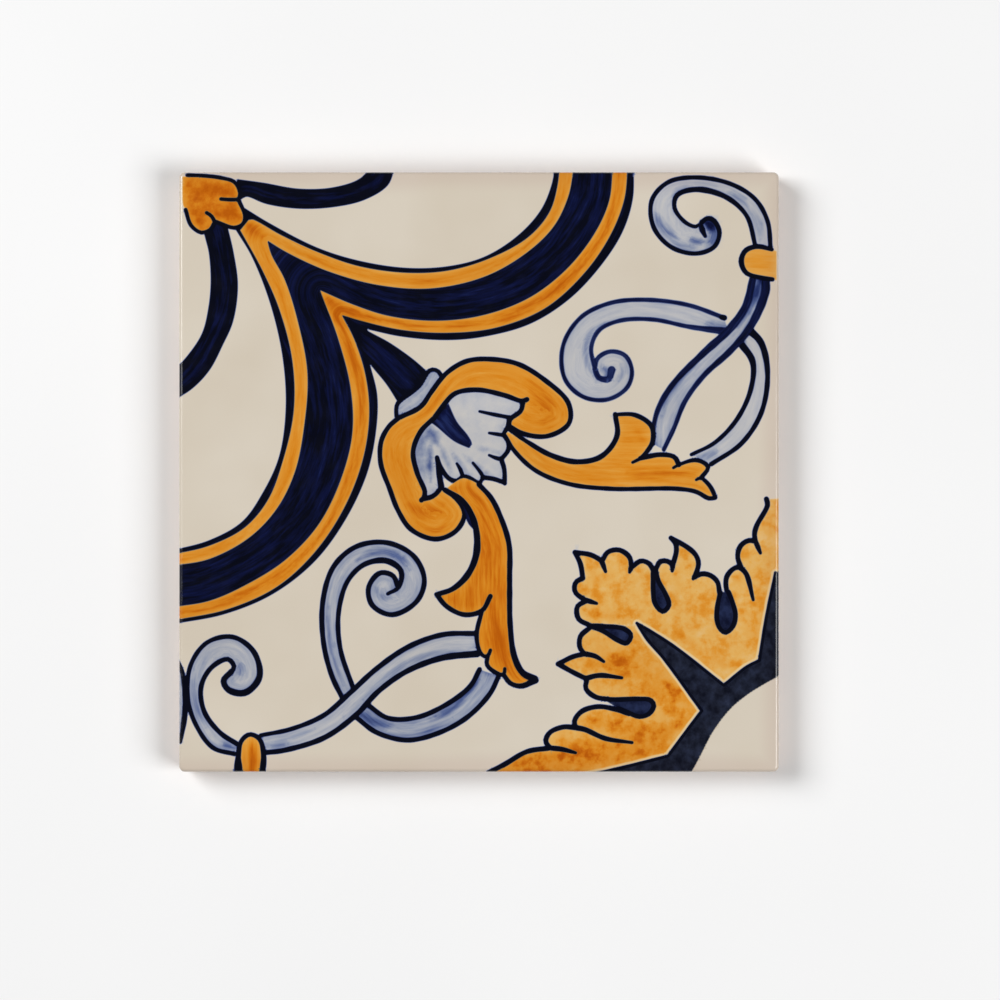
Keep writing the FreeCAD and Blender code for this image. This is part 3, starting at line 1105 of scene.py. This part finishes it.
def biscuit_material():
    """Fired clay on the back and sides, with glaze that ran a little way down the sides."""
    material, tree, shader = new_material("biscuit")
    place = add(tree, "TexCoord")["Object"]
    grain = noise(tree, place, 900.0, 4.0, 0.6)
    cloud = noise(tree, place, 60.0, 3.0)
    clay = ramp(tree, cloud, [(p, colour(*c)) for p, c in CLAY_STOPS])
    speck = ramp(tree, grain, [(0.35, colour(214, 205, 198)), (0.6, colour(255, 255, 255))])
    clay = mix(tree, 1.0, clay, speck, "MULTIPLY")
    height = add(tree, "SeparateXYZ", Vector=place)["Z"]
    wet = math_node(tree, "MULTIPLY_ADD", noise(tree, place, 130.0, 3.0, 0.6), 0.006, height)
    glazed = spread(tree, wet, *GLAZE_RUNS, 0.0, 1.0, True)
    tint = mix(tree, glazed, clay, colour(*CREAM))
    roughness = spread(tree, glazed, 0.0, 1.0, 0.9, 0.2)
    dress(tree, shader, tint, roughness, grain, strength=0.35, distance=0.0004)
    return material


def floor_material():
    """A pale, dull floor, almost even."""
    material, tree, shader = new_material("pale_floor")
    cloud = noise(tree, add(tree, "TexCoord")["Object"], 8.0, 2.0)
    tint = ramp(tree, cloud, [(0.3, colour(240, 240, 240)), (0.7, colour(243, 243, 243))])
    roughness = spread(tree, cloud, 0.3, 0.7, 0.85, 0.95)
    dress(tree, shader, tint, roughness, cloud, strength=0.02, distance=0.001)
    return material


def build_floor():
    """A square floor just below the tile."""
    data = bpy.data.meshes.new("floor")
    corners = [(x * FLOOR_HALF, y * FLOOR_HALF, 0) for x, y in ((-1, -1), (1, -1), (1, 1), (-1, 1))]
    data.from_pydata(corners, [], [(0, 1, 2, 3)])
    data.materials.append(floor_material())
    floor = bpy.data.objects.new("floor", data)
    floor.location.z = -FLOOR_GAP
    bpy.context.collection.objects.link(floor)
    return floor


def add_lamp(name, place, power):
    """A square soft lamp that looks at the tile."""
    lamp = bpy.data.lights.new(name, "AREA")
    lamp.shape = "SQUARE"
    lamp.size = LAMP_SIZE
    lamp.energy = power
    holder = bpy.data.objects.new(name, lamp)
    holder.location = place
    holder.rotation_euler = (-Vector(place)).to_track_quat("-Z", "Y").to_euler()
    bpy.context.collection.objects.link(holder)


def light_scene():
    """Soft lamps on both sides, and a little light from all round."""
    for name, (place, power) in LAMPS.items():
        add_lamp(name, place, power)
    world = bpy.data.worlds.new("studio")
    world.use_nodes = True
    back = world.node_tree.nodes["Background"]
    back.inputs["Color"].default_value = (1, 1, 1, 1)
    back.inputs["Strength"].default_value = SKY_LIGHT
    bpy.context.scene.world = world


def add_camera():
    """Straight above the tile with a long lens, the tile taking six tenths of the picture."""
    camera = bpy.data.cameras.new("camera")
    camera.lens = LENS
    camera.sensor_width = SENSOR
    holder = bpy.data.objects.new("camera", camera)
    width = SIDE * MM / TILE_SHARE
    x, y = (share * width for share in PICTURE_MIDDLE)
    holder.location = (x, y, width * LENS / SENSOR + THICKNESS * MM)
    bpy.context.collection.objects.link(holder)
    bpy.context.scene.camera = holder


tile = build_tile()
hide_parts("azulejo_tile")
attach(tile, "root")
build_floor()
light_scene()
add_camera()
bpy.context.scene.view_settings.view_transform = "Standard"
